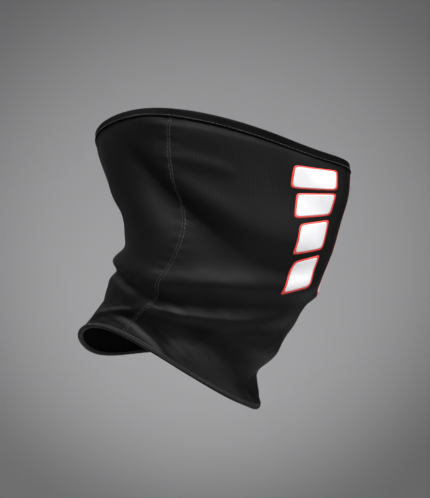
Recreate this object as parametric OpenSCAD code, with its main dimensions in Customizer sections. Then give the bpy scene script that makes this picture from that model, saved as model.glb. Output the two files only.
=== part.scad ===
// Neck gaiter, in the shape it takes when worn: a sewn tube of stretch fabric that runs from
// the neck up over the jaw to the bridge of the nose. Millimetres, +Z up, the wearer faces -Y
// and the wearer's right side is -X. The origin is the centre of the neck opening.

/* [Worn size] */
// Widest measure across the cheeks
worn_width = 146; // [130:1:165]
// Depth from the nose to the edge over the nape
worn_depth = 227; // [205:1:255]
// Height of the front edge, from the neck hem to the nose
front_height = 175; // [150:1:200]
// Height of the large folds, as a share of the usual ones
fold_share = 1; // [0:0.1:1.4]

/* [Fabric] */
// Thickness of the outer shell fabric
shell_t = 0.9; // [0.6:0.1:1.2]
// Thickness of the brushed lining
lining_t = 0.9; // [0.6:0.1:1.2]
// Thickness of the strips folded over the two edges
strip_t = 0.7; // [0.5:0.1:0.9]
// Gap left between two layers of fabric
layer_gap = 0.1; // [0.05:0.05:0.2]

/* [Edges] */
// Height of the strip along the face opening
top_band_h = 7; // [6.5:0.5:10]
// Height of the strip along the neck opening
hem_band_h = 4; // [3.5:0.5:6]
// Width of the elastic tape inside the top strip
elastic_w = 2.5; // [1.5:0.5:2.5]
// Thickness of the elastic tape
elastic_t = 1.2; // [0.6:0.1:1.4]

/* [Stitching] */
// Distance of each row of stitches from its side seam
row_offset = 1.1; // [0.8:0.1:2]
// Width of a row of stitches
row_w = 0.5; // [0.3:0.1:0.8]
// Height of a row of stitches above the fabric
row_h = 0.4; // [0.3:0.1:0.6]

/* [Print] */
// How many bars the printed graphic has on each cheek
bars = 4; // [2:1:5]
// Width of the top bar, in degrees around the tube
bar_angle = 24.5; // [20:0.5:30]
// Width of the coloured border around each bar
border_w = 1.4; // [1:0.1:3]
// Thickness of one layer of ink
ink_t = 0.15; // [0.1:0.05:0.2]

/* [Hidden] */

shell_color = [0.13, 0.13, 0.14];
lining_color = [0.06, 0.06, 0.07];
band_color = [0.08, 0.08, 0.09];
thread_color = [0.25, 0.25, 0.27];
border_color = [0.78, 0.08, 0.06];
fill_color = [0.93, 0.93, 0.93];
label_color = [0.80, 0.80, 0.78];
elastic_color = [0.30, 0.30, 0.32];

// Each level is a closed ring around the tube, from the neck opening (0) to the face opening (1):
// [place, front y, front z, back y, back z, half width, lift of the sides, nose bridge,
// tilt of the sides, shift of the sides, sway to the right]
LEVELS = [
    [0.00, -72, -28, 76, 16, 58, 22, 0, -4, 1, 8],
    [0.10, -71, -14, 60, 42, 56, 18, 0, 2, 0, 4],
    [0.22, -89, 14, 49, 64, 58, 5, 0, 2, -1, 1],
    [0.36, -117, 48, 38, 88, 62, -1, 3, 2, -2, 0],
    [0.52, -137, 80, 31, 110, 65, -1, 6, 2, -3, 0],
    [0.68, -146, 108, 42, 135, 68, 4, 8, 0, -3, 0],
    [0.84, -151, 127, 57, 163, 72, 12, 9, -2, -7, 3],
    [1.00, -151, 147, 62, 180, 73, 14, 5, -2, -12, 5]
];
// Sizes that the levels above are drawn at
levels_width = 146;
levels_depth = 227;
levels_height = 175;
SCALE = [worn_width / levels_width, worn_depth / levels_depth, front_height / levels_height];
egg = 0.10;             // share by which the front half is narrower than the back half
nose_spread = 17;       // half angle of the ridge over the nose
tilt_share = 2.6;       // brings the tilt to its full value 50 degrees from the front and back

// Large folds of the worn fabric: [height mm, width above mm, width below mm, line of the fold],
// and the line is a list of [angle, level]. Angles run from the front (0) over the right seam (90)
// and the back (180); a fold over the front has its left end below 0.
FOLDS = [
    [-7.5, 12, 28, [[6, 0.42], [30, 0.43], [45, 0.45], [60, 0.485], [75, 0.54], [90, 0.625], [108, 0.735], [124, 0.79]]],
    [5, 10, 6, [[-12, 0.41], [20, 0.383], [45, 0.358], [60, 0.344], [75, 0.328], [92, 0.312], [108, 0.315]]],
    [-3, 9, 7, [[0, 0.355], [20, 0.335], [45, 0.305], [60, 0.286], [75, 0.27], [90, 0.256], [108, 0.272]]],
    [2.6, 8, 6, [[4, 0.288], [20, 0.27], [34, 0.252], [50, 0.23], [65, 0.21], [80, 0.198], [98, 0.2]]],
    [3.6, 7, 6, [[-20, 0.205], [15, 0.208], [30, 0.21], [44, 0.212]]],
    [-4.6, 10, 13, [[-24, 0.14], [0, 0.148], [20, 0.163], [40, 0.174], [55, 0.17], [74, 0.152]]],
    [2.5, 8, 6, [[80, 0.335], [112, 0.335], [132, 0.355], [175, 0.37], [210, 0.355], [245, 0.36], [275, 0.335]]],
    [-2.5, 4, 5, [[95, 0.265], [112, 0.287], [132, 0.312], [185, 0.32], [220, 0.31], [255, 0.3]]],
    [2.5, 5, 7, [[145, 0.26], [185, 0.275], [225, 0.26], [262, 0.245], [300, 0.235]]],
    [-4, 10, 13, [[238, 0.78], [262, 0.68], [285, 0.56], [305, 0.48], [330, 0.44], [354, 0.42]]],
    [5, 9, 5, [[244, 0.35], [266, 0.325], [290, 0.335], [315, 0.36], [340, 0.38], [360, 0.385]]],
    [-3, 4, 5, [[250, 0.29], [275, 0.275], [300, 0.295], [325, 0.32], [352, 0.345]]],
    [-4.5, 7, 10, [[272, 0.1], [298, 0.14], [320, 0.155], [345, 0.13], [360, 0.115]]]
];
fold_tall = 190;        // millimetres of fabric from one opening to the other
fold_fade = 26;         // degrees over which a fold dies away at each end
fold_round = 1.3;       // millimetres of girth to one degree

right_seam = 90;
left_seam = 270;
seam_gap = 0.05;        // half of the gap between the panels, in degrees
panel_lo = 0.012;       // levels at which the panels end, inside the folded strips
panel_hi = 0.965;
panel_steps = 30;       // steps of a panel around the tube
panel_rows = 20;        // rows of a panel from hem to band
nudge = 0.004;          // step in level for measuring the fabric's direction

lining_n = -shell_t - layer_gap;
back_n = lining_n - lining_t;
strip_r = (layer_gap * 2 - back_n) / 2 + strip_t;    // outer radius of a strip's fold
strip_mid = back_n / 2;                              // middle of the layers that a strip holds

// Share of a fold's height that is left at angle a, and its height there at level t
function fade(a, first, last) =
    let (k = min(1, max(0, min(a - first, last - a) / fold_fade)))
    k * k * (3 - 2 * k);
function fold_height(a, t, f) =
    let (line = f[3], rise = (t - lookup(a, line)) * fold_tall)
    f[0] * fade(a, line[0][0], line[len(line) - 1][0]) * exp(-pow(rise / (rise > 0 ? f[1] : f[2]), 2));
function total(list, i = 0) = i < len(list) ? list[i] + total(list, i + 1) : 0;
function fold_lift(a, t) =
    let (w = ((a % 360) + 360) % 360)
    fold_share * total([for (f = FOLDS) fold_height(w, t, f) + fold_height(w - 360, t, f)]);

// Slope of the levels at level i, and the smooth curve through all of them at t
function slope(i) =
    let (lo = max(0, i - 1), hi = min(len(LEVELS) - 1, i + 1))
    (LEVELS[hi] - LEVELS[lo]) / (LEVELS[hi][0] - LEVELS[lo][0]);
function span(t, i = 0) = i >= len(LEVELS) - 2 || t < LEVELS[i + 1][0] ? i : span(t, i + 1);
function level(t) =
    let (i = span(t), h = LEVELS[i + 1][0] - LEVELS[i][0], u = (t - LEVELS[i][0]) / h)
    (1 + 2 * u) * pow(1 - u, 2) * LEVELS[i] + u * pow(1 - u, 2) * h * slope(i)
        + u * u * (3 - 2 * u) * LEVELS[i + 1] + u * u * (u - 1) * h * slope(i + 1);

function wrapped(a) = ((a + 180) % 360 + 360) % 360 - 180;

// Point of the shell's outer face at angle a and level t
function tube_point(a, t) =
    let (v = level(t), c = cos(a), s = sin(a), out = fold_lift(a, t),
        nose = v[7] * exp(-pow(wrapped(a) / nose_spread, 2)),
        mid_y = (v[1] + v[7] + v[3]) / 2, half_y = (v[3] - v[1] - v[7]) / 2)
    [
        SCALE.x * (-v[5] * s * (1 - egg * c) - out * s),
        SCALE.y * (mid_y - half_y * c - nose + v[9] * s * s - out * c),
        SCALE.z * ((v[2] + v[4]) / 2 - (v[4] - v[2]) / 2 * c + v[6] * s * s + v[8] * tilt_share * s * s * c
            + v[10] * s)
    ];
function outward(a, t) =
    let (n = cross(tube_point(a, t + nudge) - tube_point(a, t - nudge), tube_point(a + 1, t) - tube_point(a - 1, t)))
    n / norm(n);
function on(a, t, n) = tube_point(a, t) + n * outward(a, t);

// Angle that s millimetres of girth take up, and level that d millimetres from an opening reach
function degrees_for(a, t, s) = s / norm(tube_point(a + 0.5, t) - tube_point(a - 0.5, t));
function from_hem(a, d) = d / norm(tube_point(a, 0.02) - tube_point(a, 0)) * 0.02;
function from_top(a, d) = 1 - d / norm(tube_point(a, 1) - tube_point(a, 0.98)) * 0.02;

// A closed sheet: sections run around the tube, and each is a list of [outer point, inner point]
module sheet(sections, loop = false) {
    n = len(sections);
    m = len(sections[0]);
    points = [for (s = sections) for (p = s) each p];
    steps = loop ? n : n - 1;
    function id(i, j, k) = ((i % n) * m + j) * 2 + k;
    function quad(a, b, c, d) = [[a, b, c], [a, c, d]];
    faces = [
        for (i = [0:steps - 1]) for (j = [0:m - 2]) each quad(
            id(i, j, 0), id(i, j + 1, 0), id(i + 1, j + 1, 0), id(i + 1, j, 0)),
        for (i = [0:steps - 1]) for (j = [0:m - 2]) each quad(
            id(i, j, 1), id(i + 1, j, 1), id(i + 1, j + 1, 1), id(i, j + 1, 1)),
        for (i = [0:steps - 1]) each quad(id(i, 0, 0), id(i + 1, 0, 0), id(i + 1, 0, 1), id(i, 0, 1)),
        for (i = [0:steps - 1]) each quad(
            id(i, m - 1, 0), id(i, m - 1, 1), id(i + 1, m - 1, 1), id(i + 1, m - 1, 0)),
        if (!loop) for (j = [0:m - 2]) each quad(id(0, j, 0), id(0, j, 1), id(0, j + 1, 1), id(0, j + 1, 0)),
        if (!loop) for (j = [0:m - 2]) each quad(
            id(n - 1, j, 0), id(n - 1, j + 1, 0), id(n - 1, j + 1, 1), id(n - 1, j, 1))
    ];
    polyhedron(points, faces, convexity = 6);
}

// Half of the tube between two seams, between two depths below the outer face
module panel(from, to, n_out, n_in) {
    sheet([
        for (i = [0:panel_steps])
            let (a = from + seam_gap + (to - from - 2 * seam_gap) * i / panel_steps)
            [for (j = [0:panel_rows])
                let (t = panel_lo + (panel_hi - panel_lo) * j / panel_rows)
                [on(a, t, n_out), on(a, t, n_in)]]
    ]);
}

// A strip folded over an edge of the panels: two legs of height h joined by a round fold
module strip(from, to, h, at_top) {
    arc = [for (b = at_top ? [270:-36:90] : [90:36:270]) b];
    function lvl(a, d) = at_top ? from_top(a, d) : from_hem(a, d);
    function spot(a, b, r) = on(a, lvl(a, strip_r + r * cos(b)), strip_mid + r * sin(b));
    function leg(a, b) = [
        on(a, lvl(a, h), strip_mid + strip_r * sin(b)),
        on(a, lvl(a, h), strip_mid + (strip_r - strip_t) * sin(b))
    ];
    sheet([
        for (i = [0:panel_steps])
            let (a = from + seam_gap + (to - from - 2 * seam_gap) * i / panel_steps)
            [
                leg(a, arc[0]),
                for (b = arc) [spot(a, b, strip_r), spot(a, b, strip_r - strip_t)],
                leg(a, arc[len(arc) - 1])
            ]
    ]);
}

// A row of stitches beside a seam, s millimetres towards the back of it
module seam_row(seam, s, w, n_out, n_in) {
    sheet([
        for (j = [1:panel_rows - 1])
            let (t = panel_lo + (panel_hi - panel_lo) * j / panel_rows,
                lo = seam + degrees_for(seam, t, s - w / 2), hi = seam + degrees_for(seam, t, s + w / 2))
            [[on(lo, t, n_out), on(lo, t, n_in)], [on(hi, t, n_out), on(hi, t, n_in)]]
    ]);
}

// A row of stitches all around the tube, d millimetres from an opening
module ring_row(d, at_top, w, n_out, n_in) {
    function lvl(a, e) = at_top ? from_top(a, e) : from_hem(a, e);
    far = at_top ? d + w / 2 : d - w / 2;
    near = at_top ? d - w / 2 : d + w / 2;
    sheet([
        for (a = [0:6:354]) [
            [on(a, lvl(a, far), n_out), on(a, lvl(a, far), n_in)],
            [on(a, lvl(a, near), n_out), on(a, lvl(a, near), n_in)]
        ]
    ], loop = true);
}

// One layer of the printed bars. The bars grow shorter towards the chin and slant up to the front.
print_lo = 0.345;       // levels between which the bars lie
print_hi = 0.88;
print_front = 8;        // angle of the bars' front ends
print_slant = 0.035;    // rise of a bar's front end, in levels
bar_gap = 0.018;        // gap between two bars, in levels
bar_shrink = 3.6;       // degrees by which each bar is narrower than the one above
module printed_bars(side, inset, n_lo) {
    pitch = (print_hi - print_lo) / bars;
    in_a = inset / fold_round;
    in_t = inset / fold_tall;
    for (k = [0:bars - 1]) {
        t1 = print_hi - k * pitch - in_t;
        t0 = print_hi - (k + 1) * pitch + bar_gap + in_t;
        wide = bar_angle - k * bar_shrink;
        a_lo = side > 0 ? print_front + in_a : -print_front - wide + in_a;
        a_hi = side > 0 ? print_front + wide - in_a : -print_front - in_a;
        sheet([
            for (i = [0:5])
                let (a = a_lo + (a_hi - a_lo) * i / 5,
                    rise = print_slant * (1 - (abs(a) - print_front) / wide))
                [for (j = [0:5]) let (t = t0 + (t1 - t0) * j / 5 + rise)
                    [on(a, t, n_lo + ink_t), on(a, t, n_lo)]]
        ]);
    }
}
ink_lift = 0.15;        // height of the first ink layer's underside above the panel

module front_shell_panel() { color(shell_color) panel(-right_seam, right_seam, 0, -shell_t); }
module back_shell_panel() { color(shell_color) panel(right_seam, left_seam, 0, -shell_t); }
module front_lining_panel() { color(lining_color) panel(-right_seam, right_seam, lining_n, back_n); }
module back_lining_panel() { color(lining_color) panel(right_seam, left_seam, lining_n, back_n); }
module top_band_front() { color(band_color) strip(-right_seam, right_seam, top_band_h, true); }
module top_band_back() { color(band_color) strip(right_seam, left_seam, top_band_h, true); }
module neck_hem_front() { color(band_color) strip(-right_seam, right_seam, hem_band_h, false); }
module neck_hem_back() { color(band_color) strip(right_seam, left_seam, hem_band_h, false); }

module top_elastic_tape() {
    color(elastic_color) ring_row(strip_r + elastic_w / 2, true, elastic_w,
        strip_mid + elastic_t / 2, strip_mid - elastic_t / 2);
}

module outside_row(seam, s) {
    color(thread_color) seam_row(seam, s, row_w, layer_gap + row_h, layer_gap);
}
module inside_row(seam) {
    color(thread_color) seam_row(seam, 0, 2 * row_offset, back_n - layer_gap, back_n - layer_gap - row_h);
}
module right_seam_front_stitch_row() { outside_row(right_seam, -row_offset); }
module right_seam_back_stitch_row() { outside_row(right_seam, row_offset); }
module right_seam_looper_thread() { inside_row(right_seam); }
module left_seam_front_stitch_row() { outside_row(left_seam, row_offset); }
module left_seam_back_stitch_row() { outside_row(left_seam, -row_offset); }
module left_seam_looper_thread() { inside_row(left_seam); }

// The rows that hold the strips lie on the strips' outer legs
strip_face = strip_mid + strip_r + layer_gap;
edge_in = 1.2;          // distance of a row from the strip's free edge
module top_band_stitch_row() {
    color(thread_color) ring_row(top_band_h - edge_in, true, row_w, strip_face + row_h, strip_face);
}
module neck_hem_upper_stitch_row() {
    color(thread_color) ring_row(hem_band_h - 0.8, false, row_w, strip_face + row_h, strip_face);
}
module neck_hem_lower_stitch_row() {
    color(thread_color) ring_row(hem_band_h / 2, false, row_w, strip_face + row_h, strip_face);
}

module right_print_border() { color(border_color) printed_bars(1, 0, ink_lift); }
module right_print_fill() { color(fill_color) printed_bars(1, border_w, ink_lift + 2 * ink_t); }
module left_print_border() { color(border_color) printed_bars(-1, 0, ink_lift); }
module left_print_fill() { color(fill_color) printed_bars(-1, border_w, ink_lift + 2 * ink_t); }

// A blank woven label, sewn to the lining inside the left seam near the hem
label_w = 18;           // size of the label
label_h = 32;
label_t = 0.4;
module care_label() {
    face = back_n - 2 * layer_gap - row_h;
    color(label_color) sheet([
        for (i = [0:3])
            let (a = left_seam + degrees_for(left_seam, 0.2, label_w) * (i / 3 - 1.15))
            [for (j = [0:4]) let (t = from_hem(a, hem_band_h) + label_h * j / 4 / fold_tall)
                [on(a, t, face), on(a, t, face - label_t)]]
    ]);
}

front_shell_panel();
back_shell_panel();
front_lining_panel();
back_lining_panel();
top_band_front();
top_band_back();
top_elastic_tape();
neck_hem_front();
neck_hem_back();
right_seam_front_stitch_row();
right_seam_back_stitch_row();
right_seam_looper_thread();
left_seam_front_stitch_row();
left_seam_back_stitch_row();
left_seam_looper_thread();
top_band_stitch_row();
neck_hem_upper_stitch_row();
neck_hem_lower_stitch_row();
right_print_border();
right_print_fill();
left_print_border();
left_print_fill();
care_label();
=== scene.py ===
import math
import bpy
import numpy as np
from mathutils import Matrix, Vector


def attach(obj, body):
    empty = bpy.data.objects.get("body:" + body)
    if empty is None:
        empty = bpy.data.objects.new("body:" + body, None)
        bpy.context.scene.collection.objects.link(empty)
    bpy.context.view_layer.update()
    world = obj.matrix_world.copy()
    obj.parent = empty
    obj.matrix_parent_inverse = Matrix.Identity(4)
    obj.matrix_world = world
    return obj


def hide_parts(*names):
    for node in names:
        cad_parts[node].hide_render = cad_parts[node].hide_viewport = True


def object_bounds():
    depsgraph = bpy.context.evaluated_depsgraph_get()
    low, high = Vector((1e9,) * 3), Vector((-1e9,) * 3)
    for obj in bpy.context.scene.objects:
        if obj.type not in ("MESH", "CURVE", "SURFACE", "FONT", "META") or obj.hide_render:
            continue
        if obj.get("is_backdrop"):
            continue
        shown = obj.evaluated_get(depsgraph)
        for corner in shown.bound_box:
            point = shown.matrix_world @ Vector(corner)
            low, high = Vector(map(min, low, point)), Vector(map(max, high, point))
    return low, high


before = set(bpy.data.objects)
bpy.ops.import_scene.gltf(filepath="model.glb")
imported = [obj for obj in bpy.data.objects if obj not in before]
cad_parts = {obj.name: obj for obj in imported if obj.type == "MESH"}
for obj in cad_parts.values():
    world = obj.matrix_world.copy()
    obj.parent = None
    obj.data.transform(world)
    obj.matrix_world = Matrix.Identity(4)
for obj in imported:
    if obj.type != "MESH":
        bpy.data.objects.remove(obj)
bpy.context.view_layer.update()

body = "root"
mm = 0.001
rightSeam, leftSeam = 90, 270  # angles run from the front over the wearer's right side
print("frame loaded,", len(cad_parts), "nodes")

tube = {
    # place, front y, front z, back y, back z, half width, lift of the sides, nose bridge,
    # tilt of the sides, shift of the sides, sway to the right, in mm
    "levels": np.array([
        [0.00, -72, -28, 76, 16, 58, 22, 0, -4, 1, 8],
        [0.10, -71, -14, 60, 42, 56, 18, 0, 2, 0, 4],
        [0.22, -89, 14, 49, 64, 58, 5, 0, 2, -1, 1],
        [0.36, -117, 48, 38, 88, 62, -1, 3, 2, -2, 0],
        [0.52, -137, 80, 31, 110, 65, -1, 6, 2, -3, 0],
        [0.68, -146, 108, 42, 135, 68, 4, 8, 0, -3, 0],
        [0.84, -151, 127, 57, 163, 72, 12, 9, -2, -7, 3],
        [1.00, -151, 147, 62, 180, 73, 14, 5, -2, -12, 5],
    ], float),
    "egg": 0.10,  # share by which the front half is narrower than the back half
    "noseSpread": 17,  # degrees
    "tiltShare": 2.6,
    "tall": 190,  # mm of cloth between the openings
    "round": 1.35,  # mm of girth to a degree
}

# Each fold: height, reach above, reach below, degrees over which its ends fade, and its line
# as (angle, level) pairs. A crest is above zero and a valley below it.
folds = [
    # the right side, from the face edge down to the hem
    (-7.5, 12, 28, 24, [(6, 0.42), (30, 0.43), (45, 0.45), (60, 0.485), (75, 0.54),
                        (90, 0.625), (108, 0.735), (124, 0.79)]),
    (1.4, 9, 11, 20, [(52, 0.60), (70, 0.645), (85, 0.69), (100, 0.76), (112, 0.82)]),
    (1.0, 5, 5, 14, [(56, 0.77), (75, 0.775), (90, 0.785), (104, 0.80)]),
    (0.9, 5, 15, 18, [(4, 0.93), (30, 0.925), (55, 0.915), (80, 0.905), (108, 0.90)]),
    (5.0, 10, 6, 22, [(-12, 0.41), (20, 0.383), (45, 0.358), (60, 0.344), (75, 0.328),
                      (92, 0.312), (108, 0.315)]),
    (2.2, 9, 5, 22, [(80, 0.335), (96, 0.325), (112, 0.335), (132, 0.355), (175, 0.36)]),
    (-3.0, 9, 7, 20, [(0, 0.355), (20, 0.335), (45, 0.305), (60, 0.286), (75, 0.270),
                      (90, 0.256), (108, 0.272)]),
    (-2.5, 4, 4, 20, [(95, 0.265), (112, 0.287), (132, 0.312), (175, 0.31)]),
    (0.7, 2, 2, 14, [(24, 0.285), (40, 0.265), (60, 0.236), (80, 0.22), (96, 0.222)]),
    (2.6, 8, 6, 20, [(4, 0.288), (20, 0.270), (34, 0.252), (50, 0.230), (65, 0.210),
                     (80, 0.198), (98, 0.200)]),
    (0.8, 5, 6, 18, [(95, 0.22), (112, 0.25), (132, 0.275), (172, 0.27)]),
    (-3.6, 4, 6, 12, [(-12, 0.282), (0, 0.278), (15, 0.268), (30, 0.247), (44, 0.222)]),
    (3.6, 7, 6, 14, [(-20, 0.205), (0, 0.205), (15, 0.208), (30, 0.21), (44, 0.212)]),
    (-6.4, 8.5, 13, 20, [(-28, 0.128), (0, 0.142), (20, 0.163), (38, 0.176), (52, 0.172),
                         (72, 0.148)]),
    (1.4, 8, 11, 18, [(-2, 0.09), (20, 0.105), (40, 0.12), (55, 0.11), (66, 0.09)]),
    (-2.2, 9, 3.5, 10, [(62, 0.03), (72, 0.055), (84, 0.078), (96, 0.10), (106, 0.115)]),
    (1.2, 22, 20, 9, [(52, 0.0), (60, 0.05), (66, 0.11), (72, 0.155), (80, 0.20)]),
    (2.2, 6, 6, 10, [(92, 0.17), (102, 0.145), (110, 0.125), (118, 0.10), (132, 0.08)]),
    (1.0, 1.5, 3, 12, [(96, 0.298), (110, 0.30), (128, 0.304)]),
    # round the nape
    (-2.5, 9, 7, 24, [(120, 0.44), (150, 0.43), (180, 0.44), (215, 0.42), (250, 0.44)]),
    (3.0, 8, 6, 24, [(140, 0.36), (175, 0.37), (210, 0.355), (245, 0.36), (275, 0.335)]),
    (-3.0, 5, 5, 20, [(148, 0.31), (185, 0.32), (220, 0.31), (255, 0.30)]),
    (3.0, 5, 7, 24, [(145, 0.26), (185, 0.275), (225, 0.26), (262, 0.245), (300, 0.235)]),
    (-2.5, 6, 8, 20, [(130, 0.17), (165, 0.19), (200, 0.18), (236, 0.19)]),
    (1.5, 6, 10, 24, [(140, 0.72), (175, 0.66), (205, 0.64), (235, 0.68)]),
    (-1.8, 8, 10, 24, [(135, 0.60), (170, 0.57), (210, 0.58), (240, 0.62)]),
    # the left side
    (-4.0, 10, 13, 24, [(238, 0.78), (262, 0.68), (285, 0.56), (305, 0.48), (330, 0.44), (354, 0.42)]),
    (1.8, 6, 9, 20, [(250, 0.80), (272, 0.72), (292, 0.63), (312, 0.58)]),
    (1.6, 5, 15, 18, [(250, 0.90), (285, 0.91), (320, 0.92), (356, 0.93)]),
    (5.0, 9, 5, 22, [(244, 0.35), (266, 0.325), (290, 0.335), (315, 0.36), (340, 0.38), (360, 0.385)]),
    (-3.0, 4, 4, 20, [(250, 0.29), (275, 0.275), (300, 0.295), (325, 0.32), (352, 0.345)]),
    (3.0, 5, 6, 18, [(258, 0.225), (285, 0.215), (312, 0.235), (334, 0.26)]),
    (-4.5, 7, 10, 16, [(272, 0.10), (298, 0.14), (320, 0.155), (345, 0.13), (360, 0.115)]),
    (-2.5, 5, 7, 12, [(246, 0.15), (262, 0.10), (276, 0.06), (292, 0.02)]),
]

# Rounded bulges: height, angle, level, reach around and reach up, in mm
bulges = [
    (2.4, 100, 0.93, 18, 13), (1.4, 262, 0.93, 18, 12), (1.6, 12, 0.80, 20, 26),
    (1.6, 348, 0.80, 20, 26), (1.6, 46, 0.075, 24, 12), (1.6, 118, 0.07, 16, 9),
    (1.4, 225, 0.06, 30, 10), (1.2, 320, 0.07, 22, 9), (-1.2, 40, 0.72, 34, 22),
    (-1.0, 318, 0.74, 30, 24), (2.4, 6, 0.055, 16, 9),
]

relief = {
    "seamRidge": 0.25, "seamWide": 1.3,  # the flat seam stands up between its two rows
    "rowGroove": 0.28, "rowWide": 0.4, "rowOffset": 1.1,  # each row of stitches sinks in
    "pucker": 0.12, "puckerLong": 7.5, "puckerReach": 8,  # cloth drawn up along a seam
    "bandPull": 0.6, "bandFrom": 0.93,  # the elastic draws the face edge inwards
    "gather": 0.07, "gatherLong": 6.5, "gatherReach": 11,  # small gathers under the strip
    "sway": 0.55, "crumple": 0.32,
}

layers = {"shell": 0.9, "lining": 0.9, "gap": 0.1, "strip": 0.7}
liningTop = -layers["shell"] - layers["gap"]
liningBack = liningTop - layers["lining"]
stripRound = (2 * layers["gap"] - liningBack) / 2 + layers["strip"]
stripMiddle = liningBack / 2

waveMaker = np.random.default_rng(7)
waveSet = np.stack([
    waveMaker.uniform(0.5, 1.0, 14),  # height
    waveMaker.integers(2, 9, 14),  # whole turns round the tube
    waveMaker.uniform(-4, 4, 14),  # turns from hem to face edge
    waveMaker.uniform(0, 2 * math.pi, 14),
])


# A smooth curve through the knots: cubic pieces whose slope at each knot is that of the line
# between the knots on either side of it.
def smoothThrough(x, knots, values):
    slopes = np.empty_like(values)
    wide = (knots[2:] - knots[:-2]).reshape(-1, *[1] * (values.ndim - 1))
    slopes[1:-1] = (values[2:] - values[:-2]) / wide
    slopes[0] = (values[1] - values[0]) / (knots[1] - knots[0])
    slopes[-1] = (values[-1] - values[-2]) / (knots[-1] - knots[-2])
    i = np.clip(np.searchsorted(knots, x, side="right") - 1, 0, len(knots) - 2)
    h = knots[i + 1] - knots[i]
    u = (x - knots[i]) / h
    if values.ndim > 1:
        u, h = u[..., None], h[..., None]
    return ((1 + 2 * u) * (1 - u) ** 2 * values[i] + u * (1 - u) ** 2 * h * slopes[i]
            + u * u * (3 - 2 * u) * values[i + 1] + u * u * (u - 1) * h * slopes[i + 1])


def ease(x):
    x = np.clip(x, 0, 1)
    return x * x * (3 - 2 * x)


# Sum of the folds: each is a bell across its line, wider on one side than on the other, that
# fades at both ends of the line.
def foldLift(angle, level):
    lift = np.zeros(np.broadcast(angle, level).shape)
    for height, above, below, fadeOver, line in folds:
        points = np.array(line, float)
        for turn in (-360, 0, 360):
            a = angle + turn
            ends = np.minimum(a - points[0, 0], points[-1, 0] - a) / fadeOver
            if np.max(ends) <= 0:
                continue
            rise = (level - smoothThrough(a, points[:, 0], points[:, 1])) * tube["tall"]
            bell = np.exp(-(rise / np.where(rise > 0, above, below)) ** 2)
            lift = lift + height * ease(ends) * bell
    for height, at, high, wide, tall in bulges:
        around = ((angle - at + 180) % 360 - 180) * tube["round"]
        lift = lift + height * np.exp(-(around / wide) ** 2 - ((level - high) * tube["tall"] / tall) ** 2)
    return lift


# Sum of long slow waves that close after one turn
def slowWaves(angle, level, finer=1):
    total = 0
    for height, turns, climb, start in waveSet.T:
        total = total + height * np.sin(np.radians(angle) * turns * finer
                                        + 2 * math.pi * climb * finer * level + start)
    return total / len(waveSet.T)


# Millimetres of girth to one degree beside a seam
def girthStep(level):
    rings = smoothThrough(np.clip(level, 0, 1), tube["levels"][:, 0], tube["levels"][:, [1, 3]])
    return (rings[..., 1] - rings[..., 0]) / 2 * math.pi / 180


# The sewing and the small creases: ridge and grooves along both seams, puckers beside them,
# the face edge drawn in, gathers under it, and slow and fine waves all over.
def smallRelief(angle, level):
    up = level * tube["tall"]
    out = relief["sway"] * 3 * slowWaves(angle, level)
    worn = ease((0.46 - level) / 0.2) * ease(level / 0.08)
    out = out + relief["crumple"] * 3 * worn * slowWaves(angle, level * 2.2, 3)
    for seam in (rightSeam, leftSeam):
        away = ((angle - seam + 180) % 360 - 180) * girthStep(level)
        near = np.abs(away)
        out = out + relief["seamRidge"] * np.exp(-(away / relief["seamWide"]) ** 4)
        out = out - relief["rowGroove"] * np.exp(-((near - relief["rowOffset"]) / relief["rowWide"]) ** 2)
        ripple = np.sin(2 * math.pi * up / relief["puckerLong"] + 1.5 * np.sin(up / 11) + seam)
        fade = np.exp(-(near / relief["puckerReach"]) ** 2) * ease(near / 2)
        out = out + relief["pucker"] * ripple * fade
    out = out - relief["bandPull"] * ease((level - relief["bandFrom"]) / (1 - relief["bandFrom"])) ** 1.5
    down = (0.955 - level) * tube["tall"]
    ripple = np.sin(np.radians(angle) * round(360 * tube["round"] / relief["gatherLong"])
                    + 2.5 * np.sin(np.radians(angle) * 7))
    return out + relief["gather"] * ripple * ease(down / 2) * np.exp(-(down / relief["gatherReach"]) ** 2)


# The shell's outer face. Each level is an egg-shaped ring set out from its front and back points,
# with a ridge over the nose, and the folds push it out along the level line.
def clothPoint(angle, level):
    angle, level = np.broadcast_arrays(np.asarray(angle, float), np.asarray(level, float))
    v = smoothThrough(level, tube["levels"][:, 0], tube["levels"][:, 1:])
    frontY, frontZ, backY, backZ, half, lift, nose, tilt, shift, sway = np.moveaxis(v, -1, 0)
    c, s = np.cos(np.radians(angle)), np.sin(np.radians(angle))
    out = foldLift(angle, level) + smallRelief(angle, level)
    bridge = nose * np.exp(-(((angle + 180) % 360 - 180) / tube["noseSpread"]) ** 2)
    middleY, halfY = (frontY + nose + backY) / 2, (backY - frontY - nose) / 2
    x = -half * s * (1 - tube["egg"] * c) - out * s
    y = middleY - halfY * c - bridge + shift * s * s - out * c
    z = ((frontZ + backZ) / 2 - (backZ - frontZ) / 2 * c + lift * s * s
         + tilt * tube["tiltShare"] * s * s * c + sway * s)
    return np.stack([x, y, z], -1)


# Unit normal: across product of the steps up and around
def outward(angle, level, step=0.3):
    high = step * tube["round"] / tube["tall"]
    up = clothPoint(angle, level + high) - clothPoint(angle, level - high)
    around = clothPoint(angle + step, level) - clothPoint(angle - step, level)
    normal = np.cross(up, around)
    return normal / np.linalg.norm(normal, axis=-1, keepdims=True)


def onCloth(angle, level, height):
    return clothPoint(angle, level) + np.asarray(height)[..., None] * outward(angle, level)


# Levels that lie a distance from an opening, along the cloth
def fromHem(angle, distance):
    return distance / np.linalg.norm(clothPoint(angle, 0.02) - clothPoint(angle, 0.0), axis=-1) * 0.02


def fromFace(angle, distance):
    return 1 - distance / np.linalg.norm(clothPoint(angle, 1.0) - clothPoint(angle, 0.98), axis=-1) * 0.02


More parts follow.
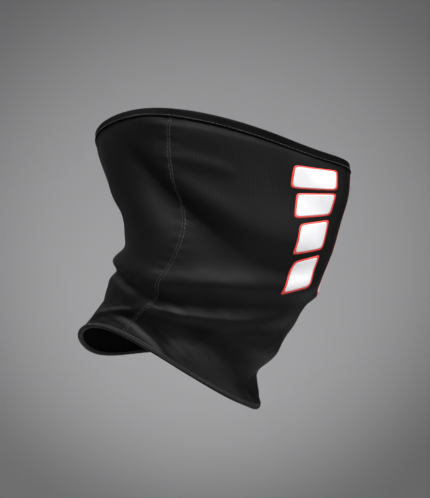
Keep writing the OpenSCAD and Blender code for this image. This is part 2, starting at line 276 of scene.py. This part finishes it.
# Adds one closed mesh for one part. The part's name has underscores; the piece's has capitals.
def addObject(part, points, faces, material, uv):
    words = part.split("_")
    name = words[0] + "".join(word.capitalize() for word in words[1:])
    mesh = bpy.data.meshes.new(name)
    mesh.vertices.add(len(points))
    mesh.vertices.foreach_set("co", (np.asarray(points) * mm).astype(np.float32).ravel())
    count = faces.shape[1]
    mesh.loops.add(faces.size)
    mesh.loops.foreach_set("vertex_index", faces.astype(np.int32).ravel())
    mesh.polygons.add(len(faces))
    mesh.polygons.foreach_set("loop_start", np.arange(0, faces.size, count, dtype=np.int32))
    mesh.polygons.foreach_set("loop_total", np.full(len(faces), count, np.int32))
    mesh.polygons.foreach_set("use_smooth", np.full(len(faces), True))
    layer = mesh.uv_layers.new(name="cloth")
    layer.data.foreach_set("uv", uv[faces.ravel()].astype(np.float32).ravel())
    mesh.update(calc_edges=True)
    mesh.validate()
    mesh.materials.append(material)
    piece = bpy.data.objects.new(name, mesh)
    bpy.context.scene.collection.objects.link(piece)
    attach(piece, body)
    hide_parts(part)
    return piece


# A closed sheet from two grids of points: outer face, inner face, and walls around the border.
# Rows run up the tube and columns around it; a looped sheet has no end walls.
def sheetFaces(rows, columns, looped):
    number = np.arange(rows * columns).reshape(rows, columns)
    if looped:
        number = np.concatenate([number, number[:, :1]], axis=1)
    a, b, c, d = number[:-1, :-1], number[:-1, 1:], number[1:, 1:], number[1:, :-1]
    outer = np.stack([a, d, c, b], -1).reshape(-1, 4)
    under = rows * columns
    inner = np.stack([a, b, c, d], -1).reshape(-1, 4) + under
    low = np.stack([number[0, :-1], number[0, 1:], number[0, 1:] + under, number[0, :-1] + under], -1)
    high = np.stack([number[-1, 1:], number[-1, :-1], number[-1, :-1] + under, number[-1, 1:] + under], -1)
    walls = [low, high]
    if not looped:
        left, right = number[:, 0], number[:, -1]
        walls.append(np.stack([left[1:], left[:-1], left[:-1] + under, left[1:] + under], -1))
        walls.append(np.stack([right[:-1], right[1:], right[1:] + under, right[:-1] + under], -1))
    return np.concatenate([outer, inner] + walls)


def addSheet(part, outer, inner, uv, material, looped=False):
    rows, columns = outer.shape[:2]
    points = np.concatenate([outer.reshape(-1, 3), inner.reshape(-1, 3)])
    maps = np.concatenate([uv.reshape(-1, 2)] * 2)
    return addObject(part, points, sheetFaces(rows, columns, looped), material, maps)


# UV of a grid on the cloth, in metres around and up
def clothMap(angle, level):
    return np.stack([angle * tube["round"] * mm, level * tube["tall"] * mm], -1)


def newMaterial(name):
    material = bpy.data.materials.new(name)
    material.use_nodes = True
    nodes = material.node_tree.nodes
    return material, nodes, material.node_tree.links, nodes["Principled BSDF"]


def newGroup(name, inputs, outputs):
    group = bpy.data.node_groups.new(name, "ShaderNodeTree")
    for label, kind, value in inputs:
        socket = group.interface.new_socket(label, in_out="INPUT", socket_type=kind)
        if value is not None:
            socket.default_value = value
    for label, kind in outputs:
        group.interface.new_socket(label, in_out="OUTPUT", socket_type=kind)
    return group, group.nodes.new("NodeGroupInput"), group.nodes.new("NodeGroupOutput")


def mathNode(tree, operation, *values):
    node = tree.nodes.new("ShaderNodeMath")
    node.operation = operation
    for i, value in enumerate(values):
        if isinstance(value, (int, float)):
            node.inputs[i].default_value = value
        else:
            tree.links.new(value, node.inputs[i])
    return node.outputs[0]


# Jersey knit: columns of V-shaped loops. Height is highest along the middle of each column, and
# falls between the courses, whose line bends down on both sides of the column.
def knitGroup():
    group, inn, out = newGroup(
        "knitLoops",
        [("Vector", "NodeSocketVector", None), ("Column", "NodeSocketFloat", 0.0009),
         ("Course", "NodeSocketFloat", 0.0007)],
        [("Height", "NodeSocketFloat"), ("Gap", "NodeSocketFloat")])
    split = group.nodes.new("ShaderNodeSeparateXYZ")
    group.links.new(inn.outputs["Vector"], split.inputs[0])
    across = mathNode(group, "DIVIDE", split.outputs[0], inn.outputs["Column"])
    side = mathNode(group, "SUBTRACT", mathNode(group, "FRACT", across), 0.5)
    side = mathNode(group, "MULTIPLY", mathNode(group, "ABSOLUTE", side), 2.0)
    along = mathNode(group, "DIVIDE", split.outputs[1], inn.outputs["Course"])
    bent = mathNode(group, "ADD", along, mathNode(group, "MULTIPLY", side, 0.6))
    course = mathNode(group, "SINE", mathNode(group, "MULTIPLY", bent, 2 * math.pi))
    crown = mathNode(group, "SUBTRACT", 1.0, mathNode(group, "POWER", side, 2.5))
    course = mathNode(group, "MULTIPLY", course, 0.2)
    height = mathNode(group, "ADD", mathNode(group, "MULTIPLY", crown, 0.6), course)
    group.links.new(height, out.inputs["Height"])
    # Gap marks the gaps between the columns; it is used only as the mask for painted shade in the base
    # color
    group.links.new(mathNode(group, "SUBTRACT", 1.0, crown), out.inputs["Gap"])
    return group


# Patchy wear and lint: slow cloudy shade and small pale specks
def wearGroup():
    group, inn, out = newGroup(
        "clothWear",
        [("Color", "NodeSocketColor", (0.02, 0.02, 0.02, 1)),
         ("Lighter", "NodeSocketColor", (0.03, 0.03, 0.03, 1)),
         ("Cloud", "NodeSocketFloat", 30.0), ("Lint", "NodeSocketFloat", 0.3)],
        [("Color", "NodeSocketColor"), ("Shade", "NodeSocketFloat")])
    place = group.nodes.new("ShaderNodeTexCoord")
    cloud = group.nodes.new("ShaderNodeTexNoise")
    cloud.inputs["Detail"].default_value = 5
    group.links.new(place.outputs["Object"], cloud.inputs["Vector"])
    group.links.new(inn.outputs["Cloud"], cloud.inputs["Scale"])
    shade = group.nodes.new("ShaderNodeMapRange")
    shade.inputs["From Min"].default_value = 0.35
    shade.inputs["From Max"].default_value = 0.68
    group.links.new(cloud.outputs["Fac"], shade.inputs["Value"])
    specks = group.nodes.new("ShaderNodeTexVoronoi")
    specks.inputs["Scale"].default_value = 160
    group.links.new(place.outputs["Object"], specks.inputs["Vector"])
    spot = mathNode(group, "LESS_THAN", specks.outputs["Distance"], 0.075)
    spot = mathNode(group, "MULTIPLY", spot, inn.outputs["Lint"])
    mixed = group.nodes.new("ShaderNodeMix")
    mixed.data_type = "RGBA"
    group.links.new(mathNode(group, "ADD", shade.outputs[0], spot), mixed.inputs["Factor"])
    group.links.new(inn.outputs["Color"], mixed.inputs["A"])
    group.links.new(inn.outputs["Lighter"], mixed.inputs["B"])
    group.links.new(mixed.outputs["Result"], out.inputs["Color"])
    group.links.new(shade.outputs[0], out.inputs["Shade"])
    return group


knit, wear = knitGroup(), wearGroup()


# Linear gray, with a little more or less blue
def gray(value, blue=0.0):
    return (value, value, value + blue, 1)


def clothUv(nodes):
    where = nodes.new("ShaderNodeUVMap")
    where.uv_map = "cloth"
    return where.outputs["UV"]


def addNoise(nodes, links, scale, detail):
    place, noise = nodes.new("ShaderNodeTexCoord"), nodes.new("ShaderNodeTexNoise")
    noise.inputs["Scale"].default_value = scale
    noise.inputs["Detail"].default_value = detail
    links.new(place.outputs["Object"], noise.inputs["Vector"])
    return noise.outputs["Fac"]


def addLoops(nodes, links, finish):
    loops = nodes.new("ShaderNodeGroup")
    loops.node_tree = knit
    links.new(clothUv(nodes), loops.inputs["Vector"])
    loops.inputs["Column"].default_value = finish["column"]
    loops.inputs["Course"].default_value = finish["course"]
    return loops


def addWear(nodes, color, lighter, cloud, lint):
    rubbed = nodes.new("ShaderNodeGroup")
    rubbed.node_tree = wear
    rubbed.inputs["Color"].default_value = color
    rubbed.inputs["Lighter"].default_value = lighter
    rubbed.inputs["Cloud"].default_value = cloud
    rubbed.inputs["Lint"].default_value = lint
    return rubbed


def addBump(nodes, links, height, strength, distance, under=None):
    bump = nodes.new("ShaderNodeBump")
    bump.inputs["Strength"].default_value = strength
    bump.inputs["Distance"].default_value = distance
    links.new(height, bump.inputs["Height"])
    if under is not None:
        links.new(under, bump.inputs["Normal"])
    return bump.outputs["Normal"]


# Base color: that of the worn cloth, darkened by painted shade in the gaps between the columns of loops
def paintShadeInGaps(nodes, links, shader, loops, rubbed, gapShade):
    gapShading = nodes.new("ShaderNodeMix")
    gapShading.data_type = "RGBA"
    gapShading.blend_type = "MULTIPLY"
    gapShading.inputs["B"].default_value = gapShade
    links.new(loops.outputs["Gap"], gapShading.inputs["Factor"])
    links.new(rubbed.outputs["Color"], gapShading.inputs["A"])
    links.new(gapShading.outputs["Result"], shader.inputs["Base Color"])


def roughen(nodes, links, shader, rubbed, fresh, worn):
    rough = nodes.new("ShaderNodeMapRange")
    rough.inputs["To Min"].default_value = fresh
    rough.inputs["To Max"].default_value = worn
    links.new(rubbed.outputs["Shade"], rough.inputs["Value"])
    links.new(rough.outputs[0], shader.inputs["Roughness"])


# Base color: from a share of the color, where value is 0, to all of it, where value is 1; with a bump
# height as the value, this paints shade into the low parts
def paintShadeByHeight(nodes, links, shader, value, color, share):
    ramp = nodes.new("ShaderNodeValToRGB")
    ramp.color_ramp.elements[0].color = tuple(c * share for c in color[:3]) + (1,)
    ramp.color_ramp.elements[1].color = color
    links.new(value, ramp.inputs["Fac"])
    links.new(ramp.outputs["Color"], shader.inputs["Base Color"])


# Column and course are the width and height of a knitted loop, in metres
shellFinish = {"dark": gray(0.0030), "light": gray(0.0046), "column": 0.00085, "course": 0.00065,
               "roughness": 0.50, "shine": 0.14, "depth": 0.00022, "lint": 0.25}
stripFinish = {"dark": gray(0.0018, 0.0001), "light": gray(0.0028, 0.0001), "column": 0.0006,
               "course": 0.0006, "roughness": 0.85, "shine": 0.05, "depth": 0.00016, "lint": 0.15}
# The hem strip's colors are lighter than the shell's: a painted highlight for the light that its rolled
# edge catches
hemFinish = {"dark": gray(0.0042, 0.0001), "light": gray(0.007, 0.0002),
             "column": 0.0008, "course": 0.0006, "roughness": 0.50, "shine": 0.15,
             "depth": 0.0002, "lint": 0.25}


# Knit cloth: dark yarn, a little lighter where it is rubbed, with painted shade between the columns
def knitMaterial(name, finish):
    material, nodes, links, shader = newMaterial(name)
    loops = addLoops(nodes, links, finish)
    rubbed = addWear(nodes, finish["dark"], finish["light"], 38, finish["lint"])
    # painted shade: the base color is cut to 55% in the gaps between the knit columns
    paintShadeInGaps(nodes, links, shader, loops, rubbed, (0.55, 0.55, 0.56, 1))
    fuzz = addBump(nodes, links, addNoise(nodes, links, 2200, 3), 0.25, 0.0002)
    bumps = addBump(nodes, links, loops.outputs["Height"], 0.55, finish["depth"], fuzz)
    links.new(bumps, shader.inputs["Normal"])
    roughen(nodes, links, shader, rubbed, finish["roughness"] + 0.08, finish["roughness"] - 0.08)
    shader.inputs["Specular IOR Level"].default_value = finish["shine"]
    return material


# Brushed fleece: black, matt, with short pile in soft clumps
def fleeceMaterial(name):
    material, nodes, links, shader = newMaterial(name)
    rubbed = addWear(nodes, gray(0.0018), gray(0.003), 60, 0.5)
    links.new(rubbed.outputs["Color"], shader.inputs["Base Color"])
    clumps = addBump(nodes, links, addNoise(nodes, links, 260, 2), 0.6, 0.0012)
    hairs = addBump(nodes, links, addNoise(nodes, links, 1500, 6), 0.6, 0.0005, clumps)
    links.new(hairs, shader.inputs["Normal"])
    shader.inputs["Roughness"].default_value = 0.95
    shader.inputs["Specular IOR Level"].default_value = 0.03
    return material


# Spun thread: two plies that wind along the stitch, with painted shade in the grooves between them
def threadMaterial(name, color):
    material, nodes, links, shader = newMaterial(name)
    tree = material.node_tree
    split = nodes.new("ShaderNodeSeparateXYZ")
    links.new(clothUv(nodes), split.inputs[0])
    along = mathNode(tree, "MULTIPLY", split.outputs[0], 5200.0)
    turn = mathNode(tree, "ADD", along, split.outputs[1])
    ply = mathNode(tree, "ABSOLUTE", mathNode(tree, "SINE", turn))
    links.new(addBump(nodes, links, ply, 0.5, 0.0001), shader.inputs["Normal"])
    # painted shade: the base color falls to 45% in the grooves between the plies
    paintShadeByHeight(nodes, links, shader, ply, color, 0.45)
    shader.inputs["Roughness"].default_value = 0.55
    shader.inputs["Sheen Weight"].default_value = 0.3
    return material


# Screen-print ink: thin and matt, the knit shows through it with painted shade in its gaps, and it has
# rubbed thin in places
def inkMaterial(name, color, worn):
    material, nodes, links, shader = newMaterial(name)
    loops = addLoops(nodes, links, shellFinish)
    rubbed = addWear(nodes, color, worn, 90, 0)
    # painted shade: the ink's base color is cut to 80% in the gaps between the knit columns
    paintShadeInGaps(nodes, links, shader, loops, rubbed, (0.80, 0.79, 0.79, 1))
    bumps = addBump(nodes, links, loops.outputs["Height"], 0.35, 0.00015)
    links.new(bumps, shader.inputs["Normal"])
    roughen(nodes, links, shader, rubbed, 0.62, 0.45)
    return material


# Woven satin tape: fine ribs across, with a painted highlight on each float and painted shade between
# them. Rib is their width in metres.
def labelMaterial(name, color, rib):
    material, nodes, links, shader = newMaterial(name)
    tree = material.node_tree
    split = nodes.new("ShaderNodeSeparateXYZ")
    links.new(clothUv(nodes), split.inputs[0])
    turns = 2 * math.pi / rib
    weft = mathNode(tree, "SINE", mathNode(tree, "MULTIPLY", split.outputs[1], turns))
    warp = mathNode(tree, "SINE", mathNode(tree, "MULTIPLY", split.outputs[0], turns * 1.6))
    weave = mathNode(tree, "MULTIPLY", weft, warp)
    # painted highlight and shade: the base color follows the weave's bump height, from 70% in the lows to
    # all of it on the floats
    paintShadeByHeight(nodes, links, shader, mathNode(tree, "MULTIPLY_ADD", weave, 0.5, 0.5), color, 0.7)
    links.new(addBump(nodes, links, weave, 0.5, 0.0001), shader.inputs["Normal"])
    shader.inputs["Roughness"].default_value = 0.5
    return material


shellCloth = knitMaterial("shellKnit", shellFinish)
stripCloth = knitMaterial("edgeStripKnit", stripFinish)
hemCloth = knitMaterial("neckHemKnit", hemFinish)
liningCloth = fleeceMaterial("brushedLining")
sewingThread = threadMaterial("sewingThread", gray(0.014, 0.001))
whiteInk = inkMaterial("whiteInk", gray(0.79, 0.01), gray(0.74, 0.02))
redInk = inkMaterial("redInk", (0.76, 0.035, 0.03, 1), (0.82, 0.08, 0.06, 1))
labelTape = labelMaterial("labelTape", gray(0.62, -0.02), 0.0005)
elasticTape = labelMaterial("elasticTape", gray(0.045, 0.005), 0.0011)
print("materials made")

panels = {"lowEnd": 0.012, "highEnd": 0.965, "columns": 236, "rows": 170,
          "gap": 0.03,  # degrees left free at each seam
          "crowding": 0.72}  # how much closer the columns lie beside a seam
frontCut, backCut = (0.24, 0.21), (0.24, 0.19)  # metres wide and long, laid flat


# Half of a layer, from one seam to the other, between two heights off the cloth
def addPanel(part, first, last, top, under, material):
    share = np.linspace(0, 1, panels["columns"])
    share = share - panels["crowding"] * np.sin(2 * math.pi * share) / (2 * math.pi)
    angle = first + panels["gap"] + (last - first - 2 * panels["gap"]) * share
    level = np.linspace(panels["lowEnd"], panels["highEnd"], panels["rows"])
    angle, level = np.meshgrid(angle, level)
    base, normal = clothPoint(angle, level), outward(angle, level)
    outer, inner = base + top * normal, base + under * normal
    piece = addSheet(part, outer, inner, clothMap(angle, level), material)
    print("panel", part)


halves = (("front", -rightSeam, rightSeam, frontCut), ("back", rightSeam, leftSeam, backCut))
for half, first, last, cut in halves:
    addPanel(half + "_shell_panel", first, last, 0, -layers["shell"],
             shellCloth)
for half, first, last, cut in halves:
    addPanel(half + "_lining_panel", first, last, liningTop, liningBack,
             liningCloth)

# Strips folded over the two edges: how far they reach from the opening, and a fine ripple
topStrip = {"height": 7, "ripple": 0.04, "rowIn": 1.2}
hemStrip = {"height": 4, "ripple": 0.03, "rowIn": 0.8}
strips = {"columns": 300, "legPoints": 6, "foldPoints": 9}


# Cross-section of a strip: up one leg, round the fold and down the other. Each point is a
# distance from the opening and a height off the cloth, for the strip's outer and inner side.
def stripSection(height, atTop):
    turn = np.radians(np.linspace(90, 270, strips["foldPoints"]))
    legs = np.linspace(height, stripRound, strips["legPoints"] + 1)[:-1]
    flat = np.ones(strips["legPoints"])

    def side(radius):
        down = np.concatenate([legs, stripRound + radius * np.cos(turn), legs[::-1]])
        high = np.concatenate([radius * flat, radius * np.sin(turn), -radius * flat])
        return down, stripMiddle + high

    outer, inner = side(stripRound), side(stripRound - layers["strip"])
    if not atTop:
        outer, inner = [v[::-1] for v in outer], [v[::-1] for v in inner]
    return outer, inner


def addStrip(part, first, last, strip, material, atTop):
    angle = np.linspace(first + panels["gap"], last - panels["gap"], strips["columns"])
    outer, inner = stripSection(strip["height"], atTop)
    levelAt = fromFace if atTop else fromHem
    turn = np.radians(angle)
    ripple = strip["ripple"] * (np.sin(turn * 83) + np.sin(turn * 51 + 1))

    def grid(section):
        down, high = section
        level = levelAt(angle[None, :], down[:, None])
        wave = np.sign(high - stripMiddle)[:, None] * ripple[None, :]
        return onCloth(np.broadcast_to(angle, level.shape), level, high[:, None] + wave)

    steps = np.hypot(np.diff(outer[0]), np.diff(outer[1]))
    travel = np.concatenate([[0], np.cumsum(steps)])
    around = angle[None, :] * tube["round"] * mm
    uv = np.stack(np.broadcast_arrays(around, travel[:, None] * mm), -1)
    piece = addSheet(part, grid(outer), grid(inner), uv, material)


addStrip("top_band_front", -rightSeam, rightSeam, topStrip, stripCloth, True)
addStrip("top_band_back", rightSeam, leftSeam, topStrip, stripCloth, True)
addStrip("neck_hem_front", -rightSeam, rightSeam, hemStrip, hemCloth, False)
addStrip("neck_hem_back", rightSeam, leftSeam, hemStrip, hemCloth, False)

elastic = {"wide": 2.5, "thick": 1.2, "ribs": 0.05, "columns": 720, "rows": 6}


# The tape lies in the fold of the top strip, ribbed along its length
def addElastic():
    angle = np.linspace(0, 360, elastic["columns"], endpoint=False)
    down = np.linspace(stripRound + elastic["wide"], stripRound, elastic["rows"])
    level = fromFace(angle[None, :], down[:, None])
    ribs = elastic["ribs"] * np.sin(np.arange(elastic["rows"]) * 2.5)[:, None]
    thick = elastic["thick"] / 2 + ribs + np.zeros(level.shape)
    around = np.broadcast_to(angle, level.shape)
    top = onCloth(around, level, stripMiddle + thick)
    under = onCloth(around, level, stripMiddle - thick)
    uv = np.stack(np.broadcast_arrays(around * tube["round"] * mm, down[:, None] * mm), -1)
    addSheet("top_elastic_tape", top, under, uv, elasticTape, looped=True)


addElastic()
print("strips and elastic")

sewing = {"long": 2.4, "space": 0.7, "thick": 0.17, "rise": 0.12,
          "dip": 0.12,  # how deep the ends of a stitch go into the cloth
          "lead": 0.15,  # where the first stitch starts, as a share of the pitch
          "lift": 0.1, "sides": 6, "bends": 6,
          "tip": 0.55,  # thickness of a thread's ends, as a share
          "looperWide": 1.15, "looperPitch": 2.6, "looperThick": 0.22, "looperPoints": 2400}


# Round threads along many short paths at once: rings of points square to each path. Paths is an
# array of stitches, points and coordinates, and up gives the direction away from the cloth.
def addThreads(part, paths, up, radius):
    many, bends = paths.shape[:2]
    sides = sewing["sides"]
    ahead = np.gradient(paths, axis=1)
    ahead = ahead / np.linalg.norm(ahead, axis=-1, keepdims=True)
    side = np.cross(ahead, up)
    side = side / np.linalg.norm(side, axis=-1, keepdims=True)
    over = np.cross(side, ahead)
    turn = np.linspace(0, 2 * math.pi, sides, endpoint=False)
    slim = np.ones(bends)
    slim[[0, -1]] = sewing["tip"]
    ring = np.cos(turn)[:, None] * side[:, :, None] + np.sin(turn)[:, None] * over[:, :, None]
    points = paths[:, :, None] + radius * slim[None, :, None, None] * ring
    number = np.arange(many * bends * sides).reshape(many, bends, sides)
    a, d = number[:, :-1], number[:, 1:]
    b, c = np.roll(a, -1, axis=2), np.roll(d, -1, axis=2)
    faces = [np.stack([a, d, c, b], -1).reshape(-1, 4)]
    first, last = number[:, 0], number[:, -1]
    for k in range(1, sides - 2, 2):  # fans of quads close the ends
        faces.append(np.stack([first[:, 0], first[:, k], first[:, k + 1], first[:, k + 2]], -1))
        faces.append(np.stack([last[:, 0], last[:, k + 2], last[:, k + 1], last[:, k]], -1))
    steps = np.linalg.norm(np.diff(paths, axis=1, prepend=paths[:, :1]), axis=-1)
    length = np.cumsum(steps, axis=1)
    uv = np.stack(np.broadcast_arrays(length[:, :, None] * mm, turn[None, None, :]), -1)
    addObject(part, points.reshape(-1, 3), np.concatenate(faces), sewingThread,
              uv.reshape(-1, 2))


# Distance travelled along a line of points
def travelAlong(spine):
    steps = np.linalg.norm(np.diff(spine, axis=0), axis=1)
    return np.concatenate([[0], np.cumsum(steps)])


# A row of separate stitches along a line on the cloth. The line is given densely as angles and
# levels; each stitch dips into the cloth at both ends.
def addStitchRow(part, angle, level, height):
    run = travelAlong(clothPoint(angle, level))
    many = int(run[-1] / (sewing["long"] + sewing["space"]))
    start = (np.arange(many) + sewing["lead"]) * run[-1] / many
    share = np.linspace(0, 1, sewing["bends"])
    at = start[:, None] + share[None, :] * sewing["long"]
    angle, level = np.interp(at, run, angle), np.interp(at, run, level)
    arch = sewing["rise"] * np.sin(math.pi * share) ** 0.7 - sewing["dip"]
    up = outward(angle, level)
    paths = clothPoint(angle, level) + (height + arch)[None, :, None] * up
    addThreads(part, paths, up, sewing["thick"])


def besideSeam(seam, offset):
    level = np.linspace(0.02, 0.96, 500)
    return seam + offset / girthStep(level), level


off = relief["rowOffset"]
addStitchRow("right_seam_front_stitch_row", *besideSeam(rightSeam, -off), sewing["lift"])
addStitchRow("right_seam_back_stitch_row", *besideSeam(rightSeam, off), sewing["lift"])
addStitchRow("left_seam_front_stitch_row", *besideSeam(leftSeam, off), sewing["lift"])
addStitchRow("left_seam_back_stitch_row", *besideSeam(leftSeam, -off), sewing["lift"])

onStrip = stripMiddle + stripRound + sewing["lift"]
ring = np.linspace(0, 360, 1400)
upperRow, lowerRow = hemStrip["height"] - hemStrip["rowIn"], hemStrip["height"] / 2
bandRow = topStrip["height"] - topStrip["rowIn"]
addStitchRow("top_band_stitch_row", ring, fromFace(ring, bandRow), onStrip)
addStitchRow("neck_hem_upper_stitch_row", ring, fromHem(ring, upperRow), onStrip)
addStitchRow("neck_hem_lower_stitch_row", ring, fromHem(ring, lowerRow), onStrip)


# The looper thread lies on the lining and swings from one needle row to the other
def addLooper(part, seam):
    level = np.linspace(0.03, 0.95, sewing["looperPoints"])
    run = travelAlong(clothPoint(seam, level))
    swing = sewing["looperWide"] * np.sin(2 * math.pi * run / sewing["looperPitch"])
    angle = seam + swing / girthStep(level)
    up = -outward(angle, level)
    paths = clothPoint(angle, level) + (sewing["looperThick"] - liningBack) * up
    addThreads(part, paths[None], up[None], sewing["looperThick"])


addLooper("right_seam_looper_thread", rightSeam)
addLooper("left_seam_looper_thread", leftSeam)
print("stitches")

# Printed bars: levels they run between, degrees from the front, degrees wide, and how much
# narrower each one is than the bar above it
printed = {"low": 0.345, "high": 0.88, "bars": 4, "front": 8, "wide": 24.5, "shrink": 3.6,
           "gap": 0.018, "slant": 0.035, "border": 1.4, "ink": 0.10, "corner": 9,
           "borderLift": 0.08, "fillLift": 0.20, "columns": 34, "rows": 26}


# A bar is a rounded rectangle: a square grid drawn in towards a superellipse, then sheared up
# towards the front.
def barGrid(side, k, inset):
    pitch = (printed["high"] - printed["low"]) / printed["bars"]
    wide = printed["wide"] - k * printed["shrink"]
    insetAngle, insetLevel = inset / tube["round"], inset / tube["tall"]
    u, v = np.meshgrid(np.linspace(-1, 1, printed["columns"]), np.linspace(-1, 1, printed["rows"]))
    power = printed["corner"]
    reach = np.maximum(np.abs(u), np.abs(v))
    rounded = (np.abs(u) ** power + np.abs(v) ** power) ** (1 / power)
    pull = reach / np.maximum(rounded, 1e-9)
    u, v = u * pull, v * pull
    away = printed["front"] + wide / 2 + u * (wide / 2 - insetAngle)
    middle = printed["high"] - (k + 0.5) * pitch + printed["gap"] / 2
    level = middle + v * ((pitch - printed["gap"]) / 2 - insetLevel)
    level = level + printed["slant"] * (1 - (away - printed["front"]) / wide)
    if side < 0:
        return -away[:, ::-1], level[:, ::-1]
    return away, level


def addPrint(part, side, inset, height, material):
    points, faces, uv, count = [], [], [], 0
    for k in range(printed["bars"]):
        angle, level = barGrid(side, k, inset)
        top = onCloth(angle, level, height + printed["ink"])
        under = onCloth(angle, level, height)
        points += [top.reshape(-1, 3), under.reshape(-1, 3)]
        faces.append(sheetFaces(*angle.shape, False) + count)
        uv += [clothMap(angle, level).reshape(-1, 2)] * 2
        count += 2 * angle.size
    addObject(part, np.concatenate(points), np.concatenate(faces), material,
              np.concatenate(uv))


for sideName, side in (("right", 1), ("left", -1)):
    addPrint(sideName + "_print_border", side, 0, printed["borderLift"], redInk)
    addPrint(sideName + "_print_fill", side, printed["border"], printed["fillLift"],
             whiteInk)
print("printed bars")

label = {"wide": 18, "long": 32, "thick": 0.3, "curl": 2.5, "fromSeam": 3, "lift": 0.5,
         "columns": 24, "rows": 36}


# The label hangs from its upper end, and its free corner curls off the lining
def addLabel():
    u, v = np.meshgrid(np.linspace(0, 1, label["columns"]), np.linspace(0, 1, label["rows"]))
    level = fromHem(leftSeam, hemStrip["height"]) + label["long"] * v / tube["tall"]
    angle = leftSeam - (label["fromSeam"] + label["wide"] * (1 - u)) / girthStep(level)
    rise = label["lift"] + label["curl"] * (1 - v) ** 2 * (1 - u) ** 2
    top = onCloth(angle, level, liningBack - rise)
    under = onCloth(angle, level, liningBack - rise - label["thick"])
    uv = np.stack([u * label["wide"] * mm, v * label["long"] * mm], -1)
    piece = addSheet("care_label", top, under, uv, labelTape)


addLabel()
print("label")

stage = {"floor": -0.7, "flat": 1.3, "wall": 3.2, "tall": 3.0, "around": 96,
         "color": (0.60, 0.60, 0.61, 1), "air": 0.31,
         "glow": 120, "glowWide": 46, "glowAhead": 1.3}


# Floor and wall in one: a profile that is flat, turns up on a quarter circle and goes on as a
# wall, carried round a full circle.
def addStage():
    bend = stage["wall"] - stage["flat"]
    turn = np.linspace(0, math.pi / 2, 24)
    flat = np.linspace(0.01, stage["flat"], 6)[:-1]
    radius = np.concatenate([flat, stage["flat"] + bend * np.sin(turn), [stage["wall"]]])
    high = np.concatenate([flat * 0, bend * (1 - np.cos(turn)), [stage["tall"] + bend]])
    around = np.linspace(0, 2 * math.pi, stage["around"], endpoint=False)
    x, y = radius[:, None] * np.cos(around), radius[:, None] * np.sin(around)
    points = np.stack(np.broadcast_arrays(x, y, high[:, None] + stage["floor"]), -1)
    number = np.arange(x.size).reshape(x.shape)
    number = np.concatenate([number, number[:, :1]], axis=1)
    a, b, c, d = number[:-1, :-1], number[1:, :-1], number[1:, 1:], number[:-1, 1:]
    faces = np.stack([a, b, c, d], -1).reshape(-1, 4)
    mesh = bpy.data.meshes.new("studioFloor")
    mesh.from_pydata(points.reshape(-1, 3).tolist(), [], faces.tolist())
    mesh.polygons.foreach_set("use_smooth", np.full(len(faces), True))
    material, nodes, links, shader = newMaterial("studioPaper")
    shader.inputs["Base Color"].default_value = stage["color"]
    shader.inputs["Roughness"].default_value = 0.95
    mesh.materials.append(material)
    floor = bpy.data.objects.new("studioFloor", mesh)
    bpy.context.scene.collection.objects.link(floor)
    floor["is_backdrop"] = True


# Each lamp: place from the middle of the object, in metres, width of its disc, and power
lamps = {
    "keyLight": ((-0.95, -0.20, 1.50), 0.9, 9),
    "topLight": ((0.1, 0.2, 1.8), 0.9, 6),
    "frontLight": ((-0.55, -1.6, 0.25), 0.8, 2.5),
}
lampSpread = 60  # degrees


def addLamp(name, aim, place, size, power):
    data = bpy.data.lights.new(name, "AREA")
    data.shape, data.size, data.energy = "DISK", size, power
    data.spread = math.radians(lampSpread)
    lamp = bpy.data.objects.new(name, data)
    lamp.location = aim + place
    lamp.rotation_mode = "QUATERNION"
    lamp.rotation_quaternion = Vector(-np.array(place)).to_track_quat("-Z", "Y")
    bpy.context.scene.collection.objects.link(lamp)


def addWorld():
    world = bpy.data.worlds.new("studioAir")
    world.use_nodes = True
    background = world.node_tree.nodes["Background"]
    background.inputs["Color"].default_value = (1, 1, 1, 1)
    background.inputs["Strength"].default_value = stage["air"]
    bpy.context.scene.world = world
    bpy.context.scene.view_settings.view_transform = "Standard"


shot = {"azimuth": -56, "elevation": -8, "distance": 0.888, "lens": 85,
        "aim": (0, -0.040, 0.0913)}


def addCamera():
    a, e = math.radians(shot["azimuth"]), math.radians(shot["elevation"])
    back = Vector((math.sin(a) * math.cos(e), -math.cos(a) * math.cos(e), math.sin(e)))
    data = bpy.data.cameras.new("camera")
    data.lens, data.sensor_width, data.clip_start, data.clip_end = shot["lens"], 36, 0.01, 50
    camera = bpy.data.objects.new("camera", data)
    camera.location = Vector(shot["aim"]) + back * shot["distance"]
    camera.rotation_mode = "QUATERNION"
    camera.rotation_quaternion = (-back).to_track_quat("-Z", "Y")
    bpy.context.scene.collection.objects.link(camera)
    bpy.context.scene.camera = camera
    return camera


# A soft pool of light on the wall behind the object, which leaves the corners darker
def addWallGlow(camera):
    data = bpy.data.lights.new("wallGlow", "SPOT")
    data.energy, data.spot_size = stage["glow"], math.radians(stage["glowWide"])
    data.spot_blend = 1
    data.shadow_soft_size = 0.1
    lamp = bpy.data.objects.new("wallGlow", data)
    ahead = camera.rotation_quaternion @ Vector((0, 0, -1))
    lamp.location = camera.location + ahead * stage["glowAhead"]
    lamp.rotation_mode = "QUATERNION"
    lamp.rotation_quaternion = camera.rotation_quaternion
    bpy.context.scene.collection.objects.link(lamp)


addStage()
lowest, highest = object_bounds()
centre = np.array((lowest + highest) / 2)
for name, (place, size, power) in lamps.items():
    addLamp(name, centre, place, size, power)
addWorld()
addWallGlow(addCamera())
print("stage, lights and camera")
